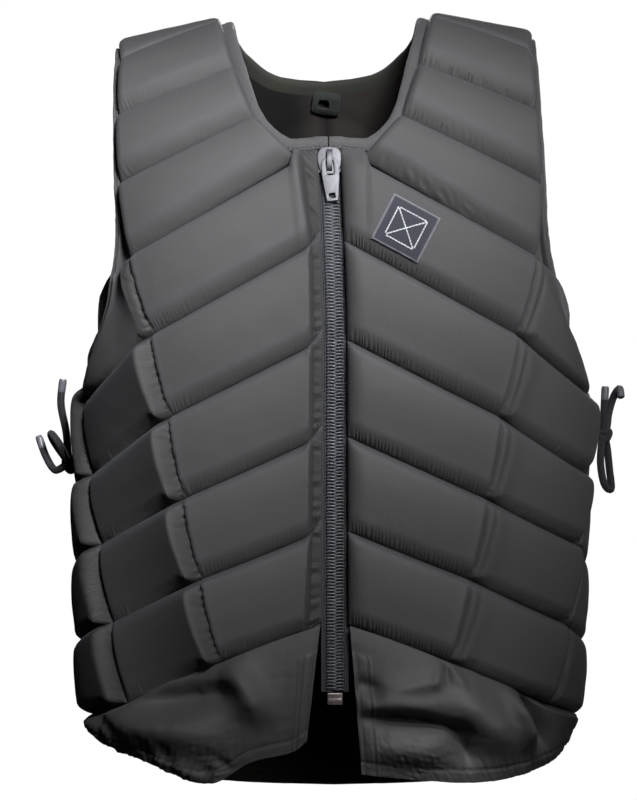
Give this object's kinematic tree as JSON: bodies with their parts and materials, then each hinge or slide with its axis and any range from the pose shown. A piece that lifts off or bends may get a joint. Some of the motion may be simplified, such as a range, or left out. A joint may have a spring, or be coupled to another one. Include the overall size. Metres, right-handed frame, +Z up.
{
  "type": "protective vest",
  "caption": "Padded riding body protector: foam blocks in chevron columns on a lining, front zip, laced sides, bound neck and armholes, loose cloth hems.",
  "frame": {"origin": "midway between the shoulder straps, level with the underside of their outer ends, where the vest rests on a wearer's shoulders", "axes": "+X to the wearer's left, -Y out of the chest, +Z up"},
  "size_m": [0.4791, 0.2618, 0.6242],
  "materials": {
    "shell": "satin fine-woven nylon, charcoal",
    "lining": "matt brown-grey lining cloth",
    "tape": "ribbed woven tape, dark grey",
    "lace": "braided cord, near black",
    "patch": "woven patch, dark, bare",
    "hardware": "bright die-cast zip metal"
  },
  "bodies": {
    "vest": {"lining_front_right": "lining", "lining_front_left": "lining", "lining_back": "lining", "shoulder_right": "shell", "shoulder_left": "shell", "yoke_right_1": "shell", "yoke_right_2": "shell", "yoke_right_3": "shell", "yoke_left_1": "shell", "yoke_left_2": "shell", "yoke_left_3": "shell", "chest_right_1": "shell", "chest_right_2": "shell", "chest_right_3": "shell", "chest_right_4": "shell", "chest_right_5": "shell", "chest_left_1": "shell", "chest_left_2": "shell", "chest_left_3": "shell", "chest_left_4": "shell", "chest_left_5": "shell", "side_right_1": "shell", "side_right_2": "shell", "side_right_3": "shell", "side_right_4": "shell", "side_right_5": "shell", "side_left_1": "shell", "side_left_2": "shell", "side_left_3": "shell", "side_left_4": "shell", "side_left_5": "shell", "flank_right": "shell", "flank_left": "shell", "back_right_1": "shell", "back_right_2": "shell", "back_right_3": "shell", "back_right_4": "shell", "back_right_5": "shell", "back_left_1": "shell", "back_left_2": "shell", "back_left_3": "shell", "back_left_4": "shell", "back_left_5": "shell", "neck_binding": "tape", "arm_binding_right": "tape", "arm_binding_left": "tape", "hem_right": "shell", "hem_left": "shell", "tail": "shell", "zip_tape_right": "tape", "zip_tape_left": "tape", "zip_slider": "hardware", "zip_box": "hardware", "lace_right": "lace", "lace_left": "lace", "badge": "patch", "hang_loop": "tape"},
    "pull": {"zip_pull": "hardware"}
  },
  "joints": [
    {"name": "pull_hinge", "type": "hinge", "parent": "vest", "child": "pull", "pos_m": [-0.0041, -0.10237, -0.09327], "axis": [-1, 0, 0], "range_deg": [0, 165]}
  ]
}
